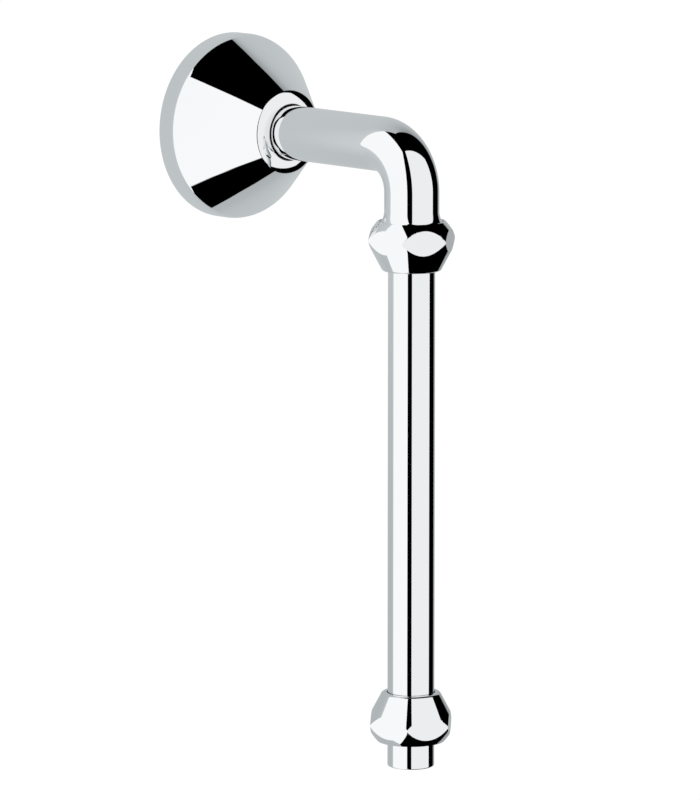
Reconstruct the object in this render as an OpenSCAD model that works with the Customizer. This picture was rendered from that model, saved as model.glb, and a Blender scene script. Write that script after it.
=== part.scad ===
// Outlet elbow for an exposed flush pipe. A bent tube comes out of the wall through a
// sliding cover, turns down and carries a straight pipe in a union joint. A second nut
// with its seal waits near the pipe's lower end.
// The origin is on the tube's axis in the plane of the wall. The tube comes out along -Y
// and the pipe hangs along -Z.

/* [Elbow] */
// Distance from the wall to the axis of the hanging pipe
reach = 105; // [90:1:160]
// Outside diameter of the bent tube
tube_d = 21; // [19:0.25:22.5]
// Water bore of the bent tube
elbow_bore_d = 15; // [11:0.5:16]
// Centreline radius of the bend
bend_r = 17; // [13:0.5:18]
// Height from the tube's axis down to the elbow's lower end
drop = 40; // [38:0.5:60]
// Radius of the hollow curve that widens the leg above its thread
flare_r = 6.5; // [4:0.5:9]

/* [Wall thread] */
// Diameter of the thread that screws into the wall
wall_thread_d = 20.95; // [18:0.05:22]
// Length of that thread behind the plane of the wall
wall_thread_l = 15; // [10:0.5:22]
// Length of that thread in front of the plane of the wall
wall_thread_lead = 2; // [1:0.5:6]
// Chamfer at the end of that thread
wall_thread_chamfer = 1.2; // [0.5:0.1:2]
// Diameter of the run-out groove in front of that thread
wall_groove_d = 18.6; // [17.4:0.1:19.6]
// Width of the run-out groove
wall_groove_w = 2; // [1:0.5:3]

/* [Union thread] */
// Outside diameter of the thread that carries the nut, and of the neck above it
union_thread_d = 24; // [23.5:0.1:24.4]
// Length of that thread
union_thread_l = 11.5; // [9:0.5:12]
// Chamfer at its lower end
union_chamfer = 0.7; // [0.3:0.1:1]

/* [Nuts] */
// Width across the flats
nut_af = 30; // [29:0.1:32]
// Height of the nut
nut_h = 19; // [18:0.5:24]
// Height of the cone, from the small end to the widest point
nut_cone_h = 12; // [11:0.25:13]
// Diameter of the small end, before its edge is rounded
nut_small_d = 22.2; // [22:0.1:24]
// Diameter that the cone reaches at the widest point
nut_wide_d = 35; // [34:0.1:36]
// Outside diameter of the open end
nut_open_d = 26; // [25.6:0.1:28]
// Radius of the bulge between the widest point and the open end
nut_bulge_r = 29; // [15:1:60]
// Rounding of the small end's edge
nut_edge_r = 1.2; // [0.4:0.1:1.5]
// Thickness of the floor at the small end
nut_floor = 2.4; // [1.5:0.1:2.8]
// Diameter of the flat floor inside
nut_floor_d = 21.8; // [21:0.1:22]
// Height of the tapered part of the hollow
nut_taper_h = 2.2; // [1.8:0.1:3.5]
// Bevel inside the mouth
nut_mouth_bevel = 0.4; // [0.1:0.1:0.6]
// Turn of the upper nut about the pipe, in degrees
upper_nut_turn = 35.2; // [0:0.1:60]
// Turn of the lower nut about the pipe, in degrees
lower_nut_turn = 42.7; // [0:0.1:60]

/* [Seals] */
// Thickness of the slip ring between the nut's floor and the seal
slip_ring_t = 1.2; // [0.8:0.1:1.8]
// Outside diameter of the slip ring
slip_ring_d = 21.2; // [20.5:0.1:21.2]
// Outside diameter of the seal
seal_d = 22.4; // [22:0.1:22.6]
// Height of the seal's straight part
seal_body_h = 3.2; // [2.5:0.1:4]
// Half angle of the seal's cone and of its seat in the elbow, in degrees
seal_angle = 30; // [20:1:40]
// Width of the seal's thin end
seal_tip_w = 0.25; // [0.15:0.05:0.5]

/* [Flush pipe] */
// Outside diameter of the pipe
pipe_d = 18; // [17.5:0.1:18.2]
// Wall thickness of the pipe
pipe_wall = 1; // [0.7:0.1:2]
// Length of the pipe
pipe_l = 205; // [120:1:400]
// Rounding of the pipe's outer edges
pipe_edge_r = 0.6; // [0.2:0.1:0.6]
// Depth of the socket that the pipe stands in, above the elbow's end
socket_l = 6; // [5.5:0.5:8]
// Length of pipe that shows below the lower nut
pipe_end_l = 10; // [6:0.5:40]

/* [Wall cover] */
// Diameter of the rim on the wall
rim_d = 72.4; // [64:0.1:90]
// Depth of the cover, from the wall to the edge of its front
cover_depth = 34.6; // [30:0.1:45]
// Height of the straight band at the wall
rim_band = 6; // [3:0.5:9]
// Radius that turns the band into the cone
rim_round = 5; // [2.5:0.5:7]
// Diameter of the front, before its edge is rounded
front_d = 32.2; // [31:0.1:36]
// Rounding of the front's edge
front_edge_r = 1.3; // [0.5:0.1:1.8]
// Rise of the domed front, from its edge to the hole
front_rise = 1.65; // [1:0.05:2.5]
// Wall thickness of the cover
cover_wall = 1.5; // [1:0.1:2]
// Length of the neck that slides on the tube
neck_l = 7; // [6:0.5:12]
// Wall thickness of the neck
neck_wall = 3.3; // [3:0.1:3.6]
// Rounding of the edge at the front of the hole
hole_edge_r = 0.4; // [0.2:0.05:0.6]
// Thickness of the grip ring's round section
grip_t = 2; // [1.5:0.1:2.2]
// Thickness of the neck's wall behind the grip ring's groove
groove_back = 2.6; // [2:0.1:3]

/* [Fits] */
// Gap between the cover's hole and the tube
cover_gap = 0.4; // [0.3:0.05:0.8]
// Gap between rubber and the metal that it grips
grip_gap = 0.04; // [0.01:0.01:0.08]
// Gap beside the grip ring in its groove, on each side
groove_gap = 0.2; // [0.1:0.05:0.4]
// Gap between pieces that are tightened on each other
seat_gap = 0.05; // [0.02:0.01:0.2]
// Gap between the pipe and the holes that it passes
pipe_gap = 0.35; // [0.3:0.05:0.5]
// Gap between the pipe's wall and its socket
socket_gap = 0.15; // [0.1:0.05:0.3]
// Gap between the pipe's end and the floor of its socket
pipe_end_gap = 0.3; // [0.1:0.05:0.6]
// Gap between the threads of the elbow and the nut
thread_gap = 0.06; // [0.02:0.01:0.1]

/* [Hidden] */
$fn = 96;

chrome = [0.80, 0.82, 0.84];
rubber = [0.10, 0.10, 0.11];
polymer = [0.90, 0.89, 0.85];

tube_r = tube_d / 2;
elbow_bore_r = elbow_bore_d / 2;
union_thread_r = union_thread_d / 2;
pipe_r = pipe_d / 2;
pipe_bore_r = pipe_r - pipe_wall;

// Inside of a nut, all measured up from the small end
nut_hole_r = pipe_r + pipe_gap;
nut_bore_r = union_thread_r + thread_gap;
slip_ring_h0 = nut_floor + seat_gap;
seal_h0 = slip_ring_h0 + slip_ring_t + seat_gap;
elbow_end_h = seal_h0 + seal_body_h + seat_gap;

// Heights of the joints along the pipe
elbow_end_z = -drop;
upper_nut_z = elbow_end_z - elbow_end_h;
socket_z = elbow_end_z + socket_l;
pipe_top_z = socket_z - pipe_end_gap;
pipe_low_z = pipe_top_z - pipe_l;
lower_nut_z = pipe_low_z + pipe_end_l + nut_h;

// Where the leg starts to widen above the union thread
flare_w = union_thread_r - tube_r;
flare_z = elbow_end_z + union_thread_l + sqrt(2 * flare_r * flare_w - flare_w * flare_w);

// Seat in the elbow for the seal's cone
seat_slope = tan(seal_angle);
socket_r = pipe_r + socket_gap;
seal_seat_r = seal_d / 2 + seat_gap / cos(seal_angle);
seal_seat_h = (seal_seat_r - socket_r) / seat_slope;
seal_grip_r = pipe_r + grip_gap;
seal_cone_h = (seal_d / 2 - seal_grip_r - seal_tip_w) / seat_slope;

// Cover
rim_r = rim_d / 2;
front_r = front_d / 2;
cover_hole_r = tube_r + cover_gap;
neck_r = cover_hole_r + neck_wall;
neck_back = cover_depth + front_rise - neck_l;
cone_angle = tangent_angle([rim_r - rim_round, rim_band], rim_round, [front_r, cover_depth]);
dome_run = front_r - cover_hole_r;
dome_r = (dome_run * dome_run + front_rise * front_rise) / (2 * front_rise);
dome_edge_angle = asin(dome_run / dome_r);

// Grip ring in its groove
grip_r = tube_r + grip_gap + grip_t / 2;
groove_r = tube_r + grip_gap + grip_t + grip_gap;
groove_w = grip_t + 2 * groove_gap;
groove_x = neck_back + groove_back + groove_w / 2;

// Points along an arc of radius r about c, from angle a to angle b
function arc(c, r, a, b, steps = 16) =
    [for (i = [0:steps]) let (t = a + (b - a) * i / steps) c + r * [cos(t), sin(t)]];

// Points along the arc of radius r that bulges to the right of the way from p to q
function bulge(p, q, r, steps = 16) =
    let (
        way = q - p,
        half = norm(way) / 2,
        side = [way[1], -way[0]] / norm(way),
        c = (p + q) / 2 - side * sqrt(r * r - half * half),
        a = atan2(p[1] - c[1], p[0] - c[0]),
        b = atan2(q[1] - c[1], q[0] - c[0])
    ) arc(c, r, a, b, steps);

// Angle on the circle (c, r) at which a line leaves it to pass through p, above the circle
function tangent_angle(c, r, p) =
    let (d = p - c) acos(r / norm(d)) * -1 + atan2(d[1], d[0]);

// Centre of the circle of radius r that rounds the corner at p between the ways u and v
function corner_centre(p, u, v, r) =
    let (
        a = u / norm(u),
        b = v / norm(v),
        mid = (a + b) / norm(a + b),
        half = acos(a * b) / 2
    ) p + mid * r / sin(half);

// Turns a profile of [radius, height] points about Z
module turned(points) {
    rotate_extrude() polygon(points);
}

// Moves to the pipe's axis at height z
module on_pipe(z) {
    translate([0, -reach, z]) children();
}

// Turns Z to -Y, so that heights count forward from the wall
module from_wall() {
    rotate([90, 0, 0]) children();
}

// A round bar of radius r that follows the elbow's centreline around its bend
module bend(r) {
    translate([0, bend_r - reach, -bend_r])
        rotate([90, 0, -90])
            rotate_extrude(angle = 90) translate([bend_r, 0]) circle(r);
}

// The elbow's outside: threaded tube end, bend, leg with its flare and union thread
module elbow_outside() {
    thread_r = wall_thread_d / 2;
    from_wall() turned([
        [0, -wall_thread_l],
        [thread_r - wall_thread_chamfer, -wall_thread_l],
        [thread_r, wall_thread_chamfer - wall_thread_l],
        [thread_r, wall_thread_lead],
        [wall_groove_d / 2, wall_thread_lead],
        [wall_groove_d / 2, wall_thread_lead + wall_groove_w],
        [tube_r, wall_thread_lead + wall_groove_w],
        [tube_r, reach - bend_r],
        [0, reach - bend_r]
    ]);
    bend(tube_r);
    on_pipe(0) turned(concat(
        [[0, -bend_r], [0, elbow_end_z]],
        [[union_thread_r - union_chamfer, elbow_end_z]],
        [[union_thread_r, elbow_end_z + union_chamfer]],
        arc([tube_r + flare_r, flare_z], flare_r, 180 + acos(1 - flare_w / flare_r), 180),
        [[tube_r, -bend_r]]
    ));
}

// The elbow's inside: water bore, pipe socket and the seat for the seal
module elbow_inside() {
    from_wall() translate([0, 0, -wall_thread_l])
        cylinder(r = elbow_bore_r, h = wall_thread_l + reach - bend_r);
    bend(elbow_bore_r);
    on_pipe(0) turned([
        [0, -bend_r],
        [elbow_bore_r, -bend_r],
        [elbow_bore_r, socket_z],
        [socket_r, socket_z],
        [socket_r, elbow_end_z + seal_seat_h],
        [seal_seat_r, elbow_end_z],
        [0, elbow_end_z]
    ]);
}

module outlet_elbow() {
    color(chrome) difference() {
        elbow_outside();
        elbow_inside();
    }
}

// Union nut with its small end at height 0 and its mouth above
module union_nut() {
    small = [nut_small_d / 2, 0];
    wide = [nut_wide_d / 2, nut_cone_h];
    centre = corner_centre(small, [-1, 0], wide - small, nut_edge_r);
    cone_tilt = atan2(wide[0] - small[0], nut_cone_h);
    color(chrome) intersection() {
        turned(concat(
            [[nut_hole_r, 0]],
            arc(centre, nut_edge_r, -90, -cone_tilt, 8),
            bulge(wide, [nut_open_d / 2, nut_h], nut_bulge_r),
            [[nut_bore_r + nut_mouth_bevel, nut_h]],
            [[nut_bore_r, nut_h - nut_mouth_bevel]],
            [[nut_bore_r, nut_floor + nut_taper_h]],
            [[nut_floor_d / 2, nut_floor]],
            [[nut_hole_r, nut_floor]]
        ));
        cylinder(r = nut_af / 2 / cos(30), h = nut_h, $fn = 6);
    }
}

// Slip ring of a union, measured from the nut's small end
module slip_ring() {
    color(polymer) translate([0, 0, slip_ring_h0]) difference() {
        cylinder(d = slip_ring_d, h = slip_ring_t);
        cylinder(r = nut_hole_r, h = slip_ring_t);
    }
}

// Cone seal of a union, measured from the nut's small end
module cone_seal() {
    body_top = seal_h0 + seal_body_h;
    color(rubber) turned([
        [seal_grip_r, seal_h0],
        [seal_d / 2, seal_h0],
        [seal_d / 2, body_top],
        [seal_grip_r + seal_tip_w, body_top + seal_cone_h],
        [seal_grip_r, body_top + seal_cone_h]
    ]);
}

// Places a union's piece at the upper joint, small end down
module upper_union() {
    on_pipe(upper_nut_z) children();
}

// Places a union's piece near the pipe's lower end, small end up
module lower_union() {
    on_pipe(lower_nut_z) rotate([180, 0, 0]) children();
}

module upper_nut() {
    upper_union() rotate([0, 0, upper_nut_turn]) union_nut();
}

module upper_slip_ring() {
    upper_union() slip_ring();
}

module upper_seal() {
    upper_union() cone_seal();
}

module lower_nut() {
    lower_union() rotate([0, 0, -lower_nut_turn]) union_nut();
}

module lower_slip_ring() {
    lower_union() slip_ring();
}

module lower_seal() {
    lower_union() cone_seal();
}

module flush_pipe() {
    centre_r = pipe_r - pipe_edge_r;
    color(chrome) on_pipe(pipe_low_z) turned(concat(
        [[pipe_bore_r, 0]],
        arc([centre_r, pipe_edge_r], pipe_edge_r, -90, 0, 6),
        arc([centre_r, pipe_l - pipe_edge_r], pipe_edge_r, 0, 90, 6),
        [[pipe_bore_r, pipe_l]]
    ));
}

// Hollow cone that slides on the tube, with a domed front and a grooved neck
module wall_cover() {
    round_centre = [rim_r - rim_round, rim_band];
    front = [front_r, cover_depth];
    cone_way = [sin(cone_angle), -cos(cone_angle)];
    dome_way = [-cos(dome_edge_angle), sin(dome_edge_angle)];
    edge_centre = corner_centre(front, cone_way, dome_way, front_edge_r);
    dome_centre = [cover_hole_r, cover_depth + front_rise - dome_r];
    dome_stop = atan2(edge_centre[1] - dome_centre[1], edge_centre[0] - dome_centre[0]);
    pocket_x = cover_depth - cover_wall;
    pocket_r = front_r - cover_wall / cos(cone_angle) + cover_wall * tan(cone_angle);
    lip_x = cover_depth + front_rise;
    color(chrome) from_wall() difference() {
        turned(concat(
            [[rim_r, 0]],
            arc(round_centre, rim_round, 0, cone_angle),
            arc(edge_centre, front_edge_r, cone_angle, dome_stop, 8),
            arc(dome_centre, dome_r, dome_stop, 90 - asin(hole_edge_r / dome_r), 12),
            arc([cover_hole_r + hole_edge_r, lip_x - hole_edge_r], hole_edge_r, 90, 180, 6),
            [[cover_hole_r, neck_back], [neck_r, neck_back], [neck_r, pocket_x]],
            [[pocket_r, pocket_x]],
            arc(round_centre, rim_round - cover_wall, cone_angle, 0),
            [[rim_r - cover_wall, 0]]
        ));
        translate([0, 0, groove_x - groove_w / 2]) cylinder(r = groove_r, h = groove_w);
    }
}

// Rubber ring that holds the cover where it is pushed
module cover_grip_ring() {
    color(rubber) from_wall() translate([0, 0, groove_x])
        rotate_extrude() translate([grip_r, 0]) circle(d = grip_t);
}

outlet_elbow();
wall_cover();
cover_grip_ring();
upper_nut();
upper_slip_ring();
upper_seal();
flush_pipe();
lower_nut();
lower_slip_ring();
lower_seal();
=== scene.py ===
import math

import bmesh
import bpy
from mathutils import Matrix, Vector


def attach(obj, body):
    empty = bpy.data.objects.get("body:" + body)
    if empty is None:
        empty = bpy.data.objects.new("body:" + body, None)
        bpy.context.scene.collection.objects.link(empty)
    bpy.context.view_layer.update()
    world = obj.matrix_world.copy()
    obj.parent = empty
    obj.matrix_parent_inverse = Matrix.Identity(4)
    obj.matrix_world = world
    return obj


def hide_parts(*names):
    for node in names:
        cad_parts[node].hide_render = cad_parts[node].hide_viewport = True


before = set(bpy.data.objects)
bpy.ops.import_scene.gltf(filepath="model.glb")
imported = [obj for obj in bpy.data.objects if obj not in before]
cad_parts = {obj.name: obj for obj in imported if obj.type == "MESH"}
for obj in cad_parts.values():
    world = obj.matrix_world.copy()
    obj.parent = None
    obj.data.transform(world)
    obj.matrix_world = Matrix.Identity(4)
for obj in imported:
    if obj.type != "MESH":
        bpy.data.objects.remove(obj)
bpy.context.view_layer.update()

# Sizes in millimetres, as in the solids
MM = 0.001
REACH = 105
TUBE_R = 10.5
BORE_R = 7.5
BEND_R = 17
ELBOW_END = -40
NECK_R = 12
FLARE_R = 6.5
FLARE_Z = -24.35
FLARE_DEGREES = 39.72
SOCKET_TOP = -34
SOCKET_R = 9.15
SEAT_R = 11.25
WALL_THREAD_R = 10.475
WALL_CORE_R = 9.3
WALL_THREAD_END = 15
UNION_CORE_R = 11.4
PIPE_R = 9
PIPE_BORE_R = 8
PIPE_LOW = -239.3
NUT_H = 19
UPPER_NUT_Z = -46.95
LOWER_NUT_Z = -210.3
UPPER_NUT_TURN = 35.2
LOWER_NUT_TURN = 42.7
HEX_R = 15
NUT_BORE_R = 12.06
NUT_HOLE_R = 9.35
NUT_FLOOR = 2.4
THREAD_SINK = 0.08

SIDES = 128


class Outline:
    """A profile in the plane y = 0, drawn with straight lines and arcs and turned about Z."""

    def __init__(self, r, h):
        self.bm = bmesh.new()
        self.first = self.bm.verts.new((r, 0, h))
        self.end = self.first

    def line(self, r, h):
        made = bmesh.ops.extrude_vert_indiv(self.bm, verts=[self.end])
        self.end = made["verts"][0]
        self.end.co = (r, 0, h)
        return self

    def arc(self, r, h, degrees, steps=8):
        made = bmesh.ops.spin(
            self.bm, geom=[self.end], cent=(r, 0, h), axis=(0, -1, 0),
            angle=math.radians(degrees), steps=steps,
        )
        self.end = next(g for g in made["geom_last"] if isinstance(g, bmesh.types.BMVert))
        return self

    def close(self):
        self.bm.edges.new((self.end, self.first))
        return self

    def turned(self, sides=SIDES):
        bmesh.ops.spin(
            self.bm, geom=self.bm.verts[:] + self.bm.edges[:], cent=(0, 0, 0), axis=(0, 0, 1),
            angle=math.tau, steps=sides, use_merge=True,
        )
        bmesh.ops.recalc_face_normals(self.bm, faces=self.bm.faces)
        return self.bm


class Ring:
    """A ring of edges that is pulled along and leaves a wall behind it."""

    def __init__(self, bm, edges, centre):
        self.bm = bm
        self.edges = edges
        self.centre = Vector(centre)

    def verts(self):
        return list({v for e in self.edges for v in e.verts})

    def radius(self):
        return (self.edges[0].verts[0].co - self.centre).length

    def pull(self, offset=(0, 0, 0), radius=None):
        made = bmesh.ops.extrude_edge_only(self.bm, edges=self.edges)
        wider = (radius or self.radius()) / self.radius()
        self.edges = [g for g in made["geom"] if isinstance(g, bmesh.types.BMEdge)]
        bmesh.ops.translate(self.bm, vec=offset, verts=self.verts())
        self.centre += Vector(offset)
        bmesh.ops.scale(
            self.bm, vec=(wider, wider, wider), verts=self.verts(),
            space=Matrix.Translation(-self.centre),
        )
        return self

    def bend(self, centre, axis, degrees, steps=36):
        made = bmesh.ops.spin(
            self.bm, geom=self.verts() + self.edges, cent=centre, axis=axis,
            angle=math.radians(degrees), steps=steps,
        )
        self.edges = [g for g in made["geom_last"] if isinstance(g, bmesh.types.BMEdge)]
        turn = Matrix.Rotation(math.radians(degrees), 3, Vector(axis))
        self.centre = Vector(centre) + turn @ (self.centre - Vector(centre))
        return self


def on_ring(vert, r, h):
    return abs(math.hypot(vert.co.x, vert.co.y) - r) < 0.02 and abs(vert.co.z - h) < 0.02


def ring_edges(bm, r, h):
    return [e for e in bm.edges if all(on_ring(v, r, h) for v in e.verts)]


def round_ring(bm, r, h, radius, segments=6):
    """Rounds the corner that goes round the axis at radius r and height h."""
    edges = ring_edges(bm, r, h)
    turn = edges[0].calc_face_angle(0)
    bmesh.ops.bevel(
        bm, geom=edges, offset=radius * math.tan(turn / 2), offset_type="OFFSET",
        affect="EDGES", segments=segments, profile=0.5, material=-1, clamp_overlap=True,
    )


def soften(bm, offset, over_degrees=35, segments=3):
    """Breaks every corner that is still sharp."""
    sharp = [
        e for e in bm.edges
        if len(e.link_faces) == 2 and e.calc_face_angle(0) > math.radians(over_degrees)
    ]
    bmesh.ops.bevel(
        bm, geom=sharp, offset=offset, offset_type="OFFSET",
        affect="EDGES", segments=segments, profile=0.5, material=-1, clamp_overlap=True,
    )


def thread(root, crest, pitch, low, high, phase=0, sides=64):
    """A thread's ridge round Z, from the root to the crest, which runs out at both ends."""
    bm = bmesh.new()
    sunk = root - math.copysign(THREAD_SINK, crest - root)
    base, flat = pitch * 0.42, pitch * 0.08
    marks = [(sunk, -base), (crest, -flat), (crest, flat), (sunk, base)]
    corners = [bm.verts.new((r, 0, low + h)) for r, h in marks]
    first = [bm.edges.new(pair) for pair in zip(corners, corners[1:] + corners[:1])]
    bmesh.ops.rotate(bm, cent=(0, 0, 0), matrix=Matrix.Rotation(phase, 3, "Z"), verts=corners)
    steps = int(sides * (high - low) / pitch)
    made = bmesh.ops.spin(
        bm, geom=corners + first, cent=(0, 0, 0), axis=(0, 0, 1),
        angle=math.tau * steps / sides, steps=steps, dvec=(0, 0, pitch / sides),
    )
    last = [g for g in made["geom_last"] if isinstance(g, bmesh.types.BMEdge)]
    bmesh.ops.edgeloop_fill(bm, edges=first)
    bmesh.ops.edgeloop_fill(bm, edges=last)
    for vert in bm.verts:
        r = math.hypot(vert.co.x, vert.co.y)
        depth = min(max(min(vert.co.z - low, high - vert.co.z) / pitch, 0.0), 1.0)
        wanted = sunk + (r - sunk) * depth
        vert.co.x *= wanted / r
        vert.co.y *= wanted / r
        vert.co.z = min(max(vert.co.z, low), high)
    bmesh.ops.remove_doubles(bm, verts=bm.verts, dist=0.0005)
    bmesh.ops.recalc_face_normals(bm, faces=bm.faces)
    for face in bm.faces:
        face.material_index = 1
    return bm


def paint(bm, index, wanted):
    for face in bm.faces:
        if wanted(face.calc_center_median()):
            face.material_index = index


def from_wall(bm):
    """Turns Z to -Y, so that heights count forward from the wall."""
    bmesh.ops.rotate(bm, cent=(0, 0, 0), matrix=Matrix.Rotation(math.radians(90), 3, "X"), verts=bm.verts)


def on_pipe(bm, z, upside_down=False, turn=0):
    bmesh.ops.rotate(bm, cent=(0, 0, 0), matrix=Matrix.Rotation(math.radians(turn), 3, "Z"), verts=bm.verts)
    if upside_down:
        half = Matrix.Rotation(math.pi, 3, "X")
        bmesh.ops.rotate(bm, cent=(0, 0, 0), matrix=half, verts=bm.verts)
    bmesh.ops.translate(bm, vec=(0, -REACH, z), verts=bm.verts)


def piece(name, bm, body, materials, stands_for):
    bmesh.ops.scale(bm, vec=(MM, MM, MM), verts=bm.verts)
    mesh = bpy.data.meshes.new(name)
    bm.to_mesh(mesh)
    bm.free()
    for material in materials:
        mesh.materials.append(material)
    mesh.shade_smooth()
    mesh.set_sharp_from_angle(angle=math.radians(40))
    made = bpy.data.objects.new(name, mesh)
    bpy.context.scene.collection.objects.link(made)
    even = made.modifiers.new("even_normals", "WEIGHTED_NORMAL")
    even.keep_sharp = True
    even.weight = 90
    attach(made, body)
    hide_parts(stands_for)
    return made


class Value:
    """A number on its way through a node tree."""

    def __init__(self, tree, socket):
        self.tree = tree
        self.socket = socket

    def maths(self, operation, *others):
        sockets = [o.socket if isinstance(o, Value) else o for o in others]
        return self.tree.add("ShaderNodeMath", {"operation": operation}, sockets)

    def __add__(self, other):
        return self.maths("ADD", self, other)

    def __sub__(self, other):
        return self.maths("SUBTRACT", self, other)

    def __mul__(self, other):
        return self.maths("MULTIPLY", self, other)

    def __truediv__(self, other):
        return self.maths("DIVIDE", self, other)

    def __rsub__(self, other):
        return self.maths("SUBTRACT", other, self)

    __radd__ = __add__
    __rmul__ = __mul__

    def step(self, low, high):
        """0 below low, 1 above high, and smooth between them."""
        settings = {"interpolation_type": "SMOOTHSTEP", "clamp": True}
        return self.tree.add("ShaderNodeMapRange", settings, {"Value": self.socket, "From Min": low, "From Max": high})

    def between(self, low, high, soft):
        return self.step(low - soft, low + soft) * (1 - self.step(high - soft, high + soft))


class Tree:
    """A node tree that is written as expressions."""

    def __init__(self, nodes):
        self.nodes = nodes
        self.nodes.nodes.clear()

    def node(self, kind, settings=None, inputs=None):
        made = self.nodes.nodes.new(kind)
        for name, value in (settings or {}).items():
            setattr(made, name, value)
        given = inputs.items() if isinstance(inputs, dict) else enumerate(inputs or [])
        for key, value in given:
            if isinstance(value, Value):
                value = value.socket
            if isinstance(value, bpy.types.NodeSocket):
                self.nodes.links.new(value, made.inputs[key])
            else:
                made.inputs[key].default_value = value
        return made

    def add(self, kind, settings=None, inputs=None, out=0):
        return Value(self, self.node(kind, settings, inputs).outputs[out])

    def mix(self, factor, first, second):
        settings = {"data_type": "RGBA", "clamp_factor": True}
        made = self.node("ShaderNodeMix", settings, {"Factor": factor})
        for key, value in ((6, first), (7, second)):
            if isinstance(value, Value):
                self.nodes.links.new(value.socket, made.inputs[key])
            else:
                made.inputs[key].default_value = (*value, 1)
        return Value(self, made.outputs[2])


def finish_tree(name):
    material = bpy.data.materials.new(name)
    material.use_nodes = True
    tree = Tree(material.node_tree)
    place = tree.add("ShaderNodeTexCoord", out=3)
    return material, tree, place


def noise(tree, place, scale, detail=3, stretch=(1, 1, 1)):
    placed = tree.add("ShaderNodeMapping", {}, {"Vector": place, "Scale": stretch})
    return tree.add("ShaderNodeTexNoise", {}, {"Vector": placed, "Scale": scale, "Detail": detail})


def surface(tree, inputs):
    shader = tree.node("ShaderNodeBsdfPrincipled", {}, inputs)
    tree.node("ShaderNodeOutputMaterial", {}, {"Surface": shader.outputs[0]})


def mirror_chrome():
    """Bright chrome plating, polished, with a faint haze where the polishing wheel passed."""
    material, tree, place = finish_tree("mirror_chrome")
    haze = noise(tree, place, 55, 4)
    cloud = noise(tree, place, 9, 2)
    colour = tree.mix(cloud.step(0.3, 0.7), (0.865, 0.885, 0.895), (0.880, 0.892, 0.900))
    surface(tree, {
        "Base Color": colour,
        "Metallic": 1.0,
        "Roughness": 0.006 + haze.step(0.35, 0.8) * 0.012,
    })
    return material


def dull_plating():
    """Plating that nobody polished: the insides and the threads."""
    material, tree, place = finish_tree("dull_plating")
    grain = noise(tree, place, 900, 4)
    cloud = noise(tree, place, 70, 3)
    bump = tree.add("ShaderNodeBump", {}, {"Strength": 0.12, "Distance": 0.0002, "Height": grain})
    surface(tree, {
        "Base Color": tree.mix(cloud, (0.52, 0.50, 0.46), (0.62, 0.60, 0.56)),
        "Metallic": 1.0,
        "Roughness": 0.26 + cloud * 0.14,
        "Normal": bump,
    })
    return material


def bare_brass():
    """The drawn brass of the water way, without plating."""
    material, tree, place = finish_tree("bare_brass")
    grain = noise(tree, place, 400, 3, (1, 1, 0.05))
    cloud = noise(tree, place, 120, 4)
    bump = tree.add("ShaderNodeBump", {}, {"Strength": 0.15, "Distance": 0.0002, "Height": grain})
    surface(tree, {
        "Base Color": tree.mix(cloud, (0.60, 0.40, 0.17), (0.72, 0.52, 0.26)),
        "Metallic": 1.0,
        "Roughness": 0.30 + cloud * 0.15,
        "Normal": bump,
    })
    return material


def seal_rubber():
    """Moulded black rubber with a fine matt grain."""
    material, tree, place = finish_tree("seal_rubber")
    grain = noise(tree, place, 1500, 3)
    bloom = noise(tree, place, 160, 4)
    bump = tree.add("ShaderNodeBump", {}, {"Strength": 0.2, "Distance": 0.0001, "Height": grain})
    surface(tree, {
        "Base Color": tree.mix(bloom.step(0.4, 0.8), (0.012, 0.012, 0.013), (0.030, 0.030, 0.031)),
        "Roughness": 0.55 + bloom * 0.2,
        "Normal": bump,
    })
    return material


def slip_polymer():
    """Natural white plastic of the slip rings, smooth and slightly waxy."""
    material, tree, place = finish_tree("slip_polymer")
    cloud = noise(tree, place, 200, 3)
    fine = noise(tree, place, 1200, 2)
    bump = tree.add("ShaderNodeBump", {}, {"Strength": 0.08, "Distance": 0.0001, "Height": fine})
    surface(tree, {
        "Base Color": tree.mix(cloud, (0.78, 0.77, 0.72), (0.84, 0.83, 0.79)),
        "Roughness": 0.32 + cloud * 0.12,
        "Subsurface Weight": 0.08,
        "Subsurface Scale": 0.002,
        "Normal": bump,
    })
    return material


chrome = mirror_chrome()
plating = dull_plating()
brass = bare_brass()
rubber = seal_rubber()
polymer = slip_polymer()


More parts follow.
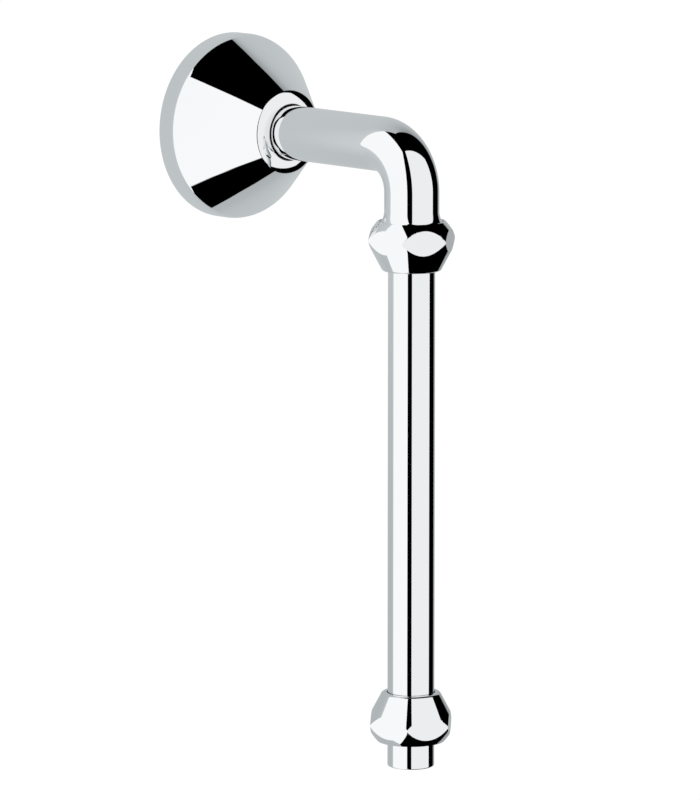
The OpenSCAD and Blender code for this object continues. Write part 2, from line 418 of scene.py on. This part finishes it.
def make_elbow():
    leg = Outline(SEAT_R, ELBOW_END)
    leg.line(SEAT_R + 0.1, ELBOW_END)
    leg.line(UNION_CORE_R, ELBOW_END + 0.4)
    leg.line(UNION_CORE_R, ELBOW_END + 10.6)
    leg.line(NECK_R, ELBOW_END + 11.2)
    leg.line(NECK_R, ELBOW_END + 11.5)
    leg.arc(TUBE_R + FLARE_R, FLARE_Z, -FLARE_DEGREES, 14)
    leg.line(TUBE_R, -BEND_R)
    bm = leg.turned()
    knee = (0, BEND_R, -BEND_R)
    out = Ring(bm, ring_edges(bm, TUBE_R, -BEND_R), (0, 0, -BEND_R))
    out.bend(knee, (-1, 0, 0), 90)
    for share in (0.06, 0.44, 0.44, 0.06):
        out.pull((0, (REACH - BEND_R - 4) * share, 0))
    out.pull(radius=WALL_CORE_R)
    out.pull((0, 4 + WALL_THREAD_END - 0.4, 0))
    out.pull((0, 0.4, 0), WALL_CORE_R - 0.4)
    out.pull(radius=BORE_R + 0.3)
    out.pull((0, -0.3, 0), BORE_R)
    out.pull((0, 0.3 - REACH + BEND_R - WALL_THREAD_END, 0))
    out.bend(knee, (1, 0, 0), 90)
    out.pull((0, 0, SOCKET_TOP + BEND_R))
    out.pull(radius=SOCKET_R)
    out.pull((0, 0, 2.4))
    seat = ELBOW_END - out.centre.z
    out.pull((0, 0, seat), SEAT_R)
    bmesh.ops.remove_doubles(bm, verts=bm.verts, dist=0.01)
    bmesh.ops.recalc_face_normals(bm, faces=bm.faces)
    paint(bm, 2, lambda c: inside_water_way(c))
    paint(bm, 1, lambda c: c.y > REACH - 4.01 and not inside_water_way(c))
    join(bm, thread(UNION_CORE_R, NECK_R, 1, ELBOW_END + 0.4, ELBOW_END + 10.4))
    on_pipe(bm, 0)
    wall_thread = thread(WALL_CORE_R, WALL_THREAD_R, 1.814, -WALL_THREAD_END + 0.2, 2)
    from_wall(wall_thread)
    join(bm, wall_thread)
    return piece("elbow_tube", bm, "elbow_and_pipe", [chrome, plating, brass], "outlet_elbow")


def inside_water_way(c):
    """True for points of the elbow's bore and socket, with the pipe's axis as Z."""
    if c.z < -BEND_R:
        return math.hypot(c.x, c.y) < 9.3 and c.z > ELBOW_END
    if c.y > BEND_R:
        return math.hypot(c.x, c.z) < 7.9
    knee = Vector((0, BEND_R, -BEND_R))
    spoke = Vector((0, c.y, c.z)) - knee
    middle = knee + spoke.normalized() * BEND_R
    return (c - middle).length < 9


def join(bm, other):
    """Adds the other mesh to bm, as a part of the same piece."""
    spare = bpy.data.meshes.new("spare")
    other.to_mesh(spare)
    other.free()
    bm.from_mesh(spare)
    bpy.data.meshes.remove(spare)


def make_cover():
    shell = Outline(36.2, 0).line(36.2, 7.63).line(16.1, 34.6)
    shell.arc(10.9, 27.23, 35.2, 12)
    shell.line(10.9, 34.25).line(12.58, 34.25).line(12.58, 31.85).line(10.9, 31.85)
    shell.line(10.9, 29.25).line(14.2, 29.25).line(14.2, 33.1).line(15.347, 33.1)
    shell.line(34.7, 7.134).line(34.7, 0).close()
    bm = shell.turned(192)
    round_ring(bm, 36.2, 7.63, 5, 10)
    round_ring(bm, 34.7, 7.134, 3.5, 6)
    round_ring(bm, 16.1, 34.6, 1.3, 6)
    lip = max(v.co.z for v in bm.verts)
    round_ring(bm, 10.9, lip, 0.4, 4)
    soften(bm, 0.15, 50)
    paint(bm, 1, lambda c: inside_cover(c))
    from_wall(bm)
    return piece("cover_shell", bm, "sliding_cover", [chrome, plating], "wall_cover")


def inside_cover(c):
    r = math.hypot(c.x, c.y)
    outer = 36.2 if c.z < 7.63 else 36.2 - (c.z - 7.63) * 0.7453
    behind = c.z < 0.01 and 34.8 < r < 36.1
    return r < outer - 1.2 and (c.z < 33.2 or r < 10.95) and not behind


def make_nut(name, body, z, upside_down, turn, stands_for):
    body_line = Outline(NUT_HOLE_R, 0).line(11.1, 0)
    for share in (0.25, 0.5, 0.75, 1):
        body_line.line(11.1 + 6.4 * share, 12 * share)
    bulge = bulge_arc((17.5, 12), (13, NUT_H), 29)
    body_line.arc(*bulge, 18)
    body_line.line(NUT_BORE_R + 0.4, NUT_H).line(NUT_BORE_R, NUT_H - 0.4)
    body_line.line(NUT_BORE_R, NUT_FLOOR + 2.2).line(10.9, NUT_FLOOR).line(NUT_HOLE_R, NUT_FLOOR)
    body_line.close()
    bm = body_line.turned(192)
    round_ring(bm, 11.1, 0, 1.2, 6)
    for side in range(6):
        angle = math.radians(30 + 60 * side)
        way = Vector((math.cos(angle), math.sin(angle), 0))
        cut = bmesh.ops.bisect_plane(
            bm, geom=bm.verts[:] + bm.edges[:] + bm.faces[:], dist=0.001,
            plane_co=way * HEX_R, plane_no=way, clear_outer=True,
        )
        open_edges = [g for g in cut["geom_cut"] if isinstance(g, bmesh.types.BMEdge) and g.is_boundary]
        bmesh.ops.edgeloop_fill(bm, edges=open_edges)
    bmesh.ops.remove_doubles(bm, verts=bm.verts, dist=0.01)
    bmesh.ops.dissolve_degenerate(bm, edges=bm.edges, dist=0.01)
    bmesh.ops.recalc_face_normals(bm, faces=bm.faces)
    rims = {e for f in bm.faces if on_flat(f) for e in f.edges}
    bmesh.ops.bevel(
        bm, geom=list(rims), offset=0.22, offset_type="OFFSET",
        affect="EDGES", segments=3, profile=0.5, material=-1, clamp_overlap=True,
    )
    paint(bm, 1, lambda c: math.hypot(c.x, c.y) < min(NUT_BORE_R + 0.3, 10.6 + c.z / 2) and 0.1 < c.z < NUT_H - 0.1)
    join(bm, thread(NUT_BORE_R, 11.5, 1, NUT_FLOOR + 3, NUT_H - 0.4, math.pi))
    on_pipe(bm, z, upside_down, turn)
    return piece(name, bm, body, [chrome, plating], stands_for)


def on_flat(face):
    """True for the six flats, which are the large upright faces at the hexagon's distance."""
    middle = face.calc_center_median()
    return face.calc_area() > 40 and abs(face.normal.z) < 0.01 and math.hypot(middle.x, middle.y) > 14


def bulge_arc(p, q, r):
    """Centre and swept degrees of the arc of radius r that bulges outward from p to q."""
    way = Vector(q) - Vector(p)
    half = way.length / 2
    side = Vector((way.y, -way.x)).normalized()
    centre = (Vector(p) + Vector(q)) / 2 - side * math.sqrt(r * r - half * half)
    return centre.x, centre.y, math.degrees(2 * math.asin(half / r))


def make_pipe():
    bm = Outline(PIPE_BORE_R, 0).line(PIPE_R, 0).line(PIPE_R, 205).line(PIPE_BORE_R, 205).close().turned()
    round_ring(bm, PIPE_R, 0, 0.6, 6)
    round_ring(bm, PIPE_R, 205, 0.6, 6)
    soften(bm, 0.12, 50)
    paint(bm, 1, lambda c: math.hypot(c.x, c.y) < PIPE_BORE_R + 0.05)
    on_pipe(bm, PIPE_LOW)
    return piece("straight_pipe", bm, "elbow_and_pipe", [chrome, brass], "flush_pipe")


def make_seal(name, body, z, upside_down, stands_for):
    bm = Outline(9.04, 3.7).line(11.2, 3.7).line(11.2, 6.9).line(9.29, 10.21).line(9.04, 10.21).close().turned()
    soften(bm, 0.1, 20)
    on_pipe(bm, z, upside_down)
    return piece(name, bm, body, [rubber], stands_for)


def make_slip_ring(name, body, z, upside_down, stands_for):
    bm = Outline(9.35, 2.45).line(10.6, 2.45).line(10.6, 3.65).line(9.35, 3.65).close().turned()
    soften(bm, 0.15, 50)
    on_pipe(bm, z, upside_down)
    return piece(name, bm, body, [polymer], stands_for)


make_elbow()
make_cover()
make_nut("upper_union_nut", "elbow_and_pipe", UPPER_NUT_Z, False, UPPER_NUT_TURN, "upper_nut")
make_nut("lower_union_nut", "loose_nut", LOWER_NUT_Z, True, -LOWER_NUT_TURN, "lower_nut")
make_pipe()
make_seal("upper_cone_seal", "elbow_and_pipe", UPPER_NUT_Z, False, "upper_seal")
make_seal("lower_cone_seal", "lower_seal_set", LOWER_NUT_Z, True, "lower_seal")
make_slip_ring("upper_slide_ring", "elbow_and_pipe", UPPER_NUT_Z, False, "upper_slip_ring")
make_slip_ring("lower_slide_ring", "lower_seal_set", LOWER_NUT_Z, True, "lower_slip_ring")

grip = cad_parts["cover_grip_ring"]
grip.data.materials.clear()
grip.data.materials.append(rubber)
grip.data.shade_smooth()

# Camera, at the photograph's place and angle
AZIMUTH = math.radians(-42.22)
PITCH = math.radians(9.13)
right = Vector((math.cos(AZIMUTH), math.sin(AZIMUTH), 0))
back = Vector((
    math.sin(AZIMUTH) * math.cos(PITCH), -math.cos(AZIMUTH) * math.cos(PITCH), math.sin(PITCH),
))
up = back.cross(right)
lens = bpy.data.cameras.new("camera")
lens.sensor_width = 36
lens.lens = 270
lens.clip_start = 0.1
lens.clip_end = 100
camera = bpy.data.objects.new("camera", lens)
bpy.context.scene.collection.objects.link(camera)
camera.matrix_world = Matrix((right, up, back)).transposed().to_4x4()
camera.location = Vector((0, -REACH, 0)) * MM + back * 2.2737 - right * 0.02342 - up * 0.0956
bpy.context.scene.camera = camera


def white_floor():
    """A plain pale table under the object, evenly lit, which shows only from above."""
    bm = bmesh.new()
    bmesh.ops.create_grid(bm, x_segments=1, y_segments=1, size=40)
    bmesh.ops.translate(bm, vec=(0, 0, -0.3), verts=bm.verts)
    mesh = bpy.data.meshes.new("floor")
    bm.to_mesh(mesh)
    bm.free()
    floor = bpy.data.objects.new("floor", mesh)
    bpy.context.scene.collection.objects.link(floor)
    material, tree, _ = finish_tree("white_table")
    white = tree.node("ShaderNodeEmission", {}, {"Color": (1, 1, 1, 1), "Strength": 1.02})
    clear = tree.node("ShaderNodeBsdfTransparent")
    behind = tree.add("ShaderNodeNewGeometry", out=6)
    shown = tree.node("ShaderNodeMixShader", {}, [behind, white.outputs[0], clear.outputs[0]])
    tree.node("ShaderNodeOutputMaterial", {}, {"Surface": shown.outputs[0]})
    mesh.materials.append(material)
    floor.visible_glossy = False
    floor.visible_diffuse = False
    floor.visible_shadow = False


def glowing_wall_sheet():
    """A glowing sheet in the plane of the wall, standing in for the lit wall. It shows only as a reflection in the
    metal, and its glow carries painted light and shade.
    """
    bm = bmesh.new()
    bmesh.ops.create_grid(bm, x_segments=1, y_segments=1, size=1)
    bmesh.ops.rotate(bm, cent=(0, 0, 0), matrix=Matrix.Rotation(math.radians(90), 3, "X"), verts=bm.verts)
    bmesh.ops.scale(bm, vec=(0.42, 1, 1.1), verts=bm.verts)
    bmesh.ops.translate(bm, vec=(0.328, 0.0006, 0.46), verts=bm.verts)
    mesh = bpy.data.meshes.new("board")
    bm.to_mesh(mesh)
    bm.free()
    board = bpy.data.objects.new("board", mesh)
    bpy.context.scene.collection.objects.link(board)
    material, tree, place = finish_tree("painted_wall_light")
    parts = tree.node("ShaderNodeSeparateXYZ", {}, {"Vector": place})
    x, z = Value(tree, parts.outputs[0]), Value(tree, parts.outputs[2])
    # Painted light and shade on the wall: the glow is brighter at the left, dimmer to the right, and painted shade
    # darkens it towards the top and the bottom.
    painted_light_across = 0.62 + 0.09 * (1 - x.step(-0.105, -0.045)) - 0.16 * x.step(0, 0.36) - 0.11 * x.step(0.45, 0.6)
    painted_shade_top_bottom = (1 - 0.15 * z.step(0.03, 0.4)) * (1 - 0.16 * (1 - z.step(-0.2, 0)))
    wall_glow = tree.node("ShaderNodeEmission", {}, {"Color": (0.94, 0.985, 1, 1), "Strength": painted_light_across * painted_shade_top_bottom})
    clear = tree.node("ShaderNodeBsdfTransparent")
    behind = tree.add("ShaderNodeNewGeometry", out=6)
    shown = tree.node("ShaderNodeMixShader", {}, [behind, wall_glow.outputs[0], clear.outputs[0]])
    tree.node("ShaderNodeOutputMaterial", {}, {"Surface": shown.outputs[0]})
    mesh.materials.append(material)
    board.visible_camera = False
    board.visible_shadow = False


def flat_screen(tree, way, facing, sides, heights, spread=0):
    """A flat upright screen one unit away. Its right edge leans outwards by spread as it rises."""
    angle = AZIMUTH + math.radians(facing)
    dot = {"operation": "DOT_PRODUCT"}
    away = tree.add("ShaderNodeVectorMath", dot, [way, (math.sin(angle), -math.cos(angle), 0)], 1)
    aside = tree.add("ShaderNodeVectorMath", dot, [way, (math.cos(angle), math.sin(angle), 0)], 1)
    height = tree.add("ShaderNodeVectorMath", dot, [way, (0, 0, 1)], 1)
    depth = away.maths("MAXIMUM", away, 0.01)
    u, v = aside / depth, height / depth
    right_edge = sides[1] + v.maths("MAXIMUM", v, 0) * spread
    within = u.step(sides[0] - 0.01, sides[0] + 0.01) * (right_edge - u).step(-0.01, 0.01)
    return within * v.between(*heights, 0.03) * away.step(0.03, 0.06)


def studio():
    """Soft light from two large white screens with a black gap between them, as for bright metal."""
    world = bpy.data.worlds.new("studio")
    bpy.context.scene.world = world
    world.use_nodes = True
    tree = Tree(world.node_tree)
    way = tree.add("ShaderNodeTexCoord", out=0)
    left_screen = flat_screen(tree, way, -72, (-8, 1.32), (-3.9, 2.36), 0.12)
    right_screen = flat_screen(tree, way, 30, (-0.53, 2.5), (-1.43, 1.73))
    light = left_screen * 1.06 + right_screen * 0.955
    seen = tree.add("ShaderNodeLightPath", out=0)
    shade = light * (1 - seen) + seen * 1.02
    lit = tree.node("ShaderNodeBackground", {}, {"Color": (1, 1, 1, 1), "Strength": shade})
    tree.node("ShaderNodeOutputWorld", {}, {"Surface": lit.outputs[0]})


white_floor()
glowing_wall_sheet()
studio()

view = bpy.context.scene.view_settings
view.view_transform = "Standard"
view.look = "None"
view.exposure = 0
view.gamma = 1
